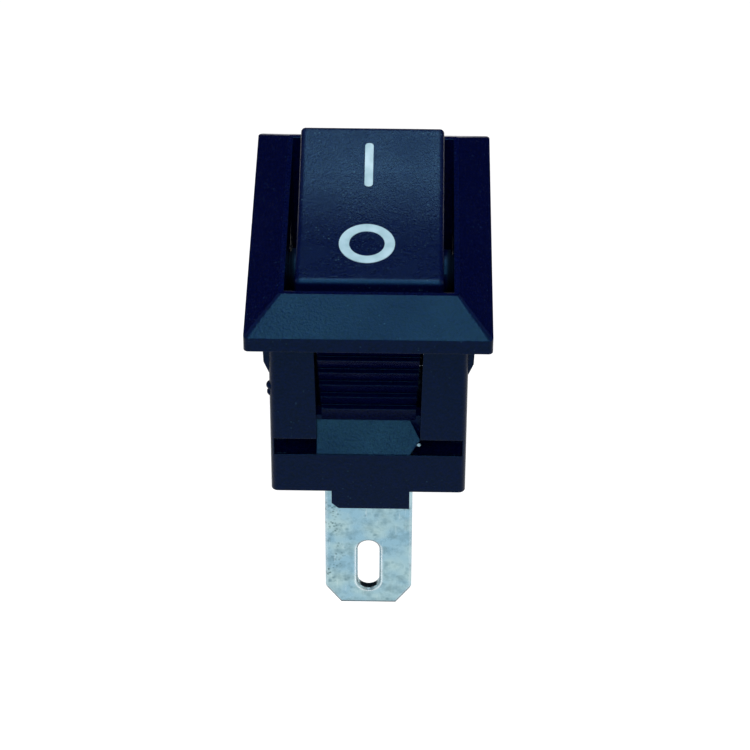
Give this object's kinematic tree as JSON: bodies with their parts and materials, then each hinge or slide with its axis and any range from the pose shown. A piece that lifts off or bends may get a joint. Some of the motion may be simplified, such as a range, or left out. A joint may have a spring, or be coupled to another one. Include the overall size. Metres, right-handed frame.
{
  "type": "panel rocker switch",
  "caption": "Miniature snap-in rocker switch: oblong bevelled bezel, shallow V rocker pressed down at the O end, ratchet tongues for the panel and flat tabs with a slot.",
  "frame": {"origin": "centre of the flange's underside, on the panel's face, at the middle of the panel cut-out", "axes": "+Z out of the panel towards the user, -Z into the panel along the tabs; X across the switch, along the rocker's axis; -Y towards the O end and the load tab, which the picture's camera faces"},
  "size_m": [0.0104, 0.015, 0.0201],
  "materials": {
    "moulding": "black nylon, satin, with a blue cast from the light",
    "rocker": "black nylon, fine satin grain",
    "plated_strip": "bright tin or nickel plate on brass strip, lightly marked",
    "copper_strip": "bare phosphor bronze strip",
    "contact_silver": "silver alloy, dull",
    "plunger": "natural nylon",
    "spring": "drawn steel wire"
  },
  "bodies": {
    "body": {"housing": "moulding", "base": "moulding", "load_terminal": "plated_strip", "common_terminal": "plated_strip", "fixed_contact": "contact_silver"},
    "rocker": {"rocker": "rocker"},
    "plunger": {"plunger": "plunger", "plunger_spring": "spring"},
    "contact_arm": {"contact_arm": "copper_strip", "moving_contact": "contact_silver"}
  },
  "joints": [
    {"name": "rocker_hinge", "type": "hinge", "parent": "body", "child": "rocker", "pos_m": [0, 0, -0.0014], "axis": [1, 0, 0], "range_deg": [-21, 0]},
    {"name": "arm_hinge", "type": "hinge", "parent": "body", "child": "contact_arm", "pos_m": [0, 0, -0.00575], "axis": [1, 0, 0], "range_deg": [0, 14]},
    {"name": "plunger_slide", "type": "slide", "parent": "rocker", "child": "plunger", "axis": [0, -0.1822, 0.9833], "range_m": [0, 0.00025], "stiffness_N_per_m": 300, "deforming": ["plunger_spring"]}
  ],
  "couplings": [
    {"joint": "arm_hinge", "follows": "rocker_hinge", "ratio": -0.66667}
  ]
}
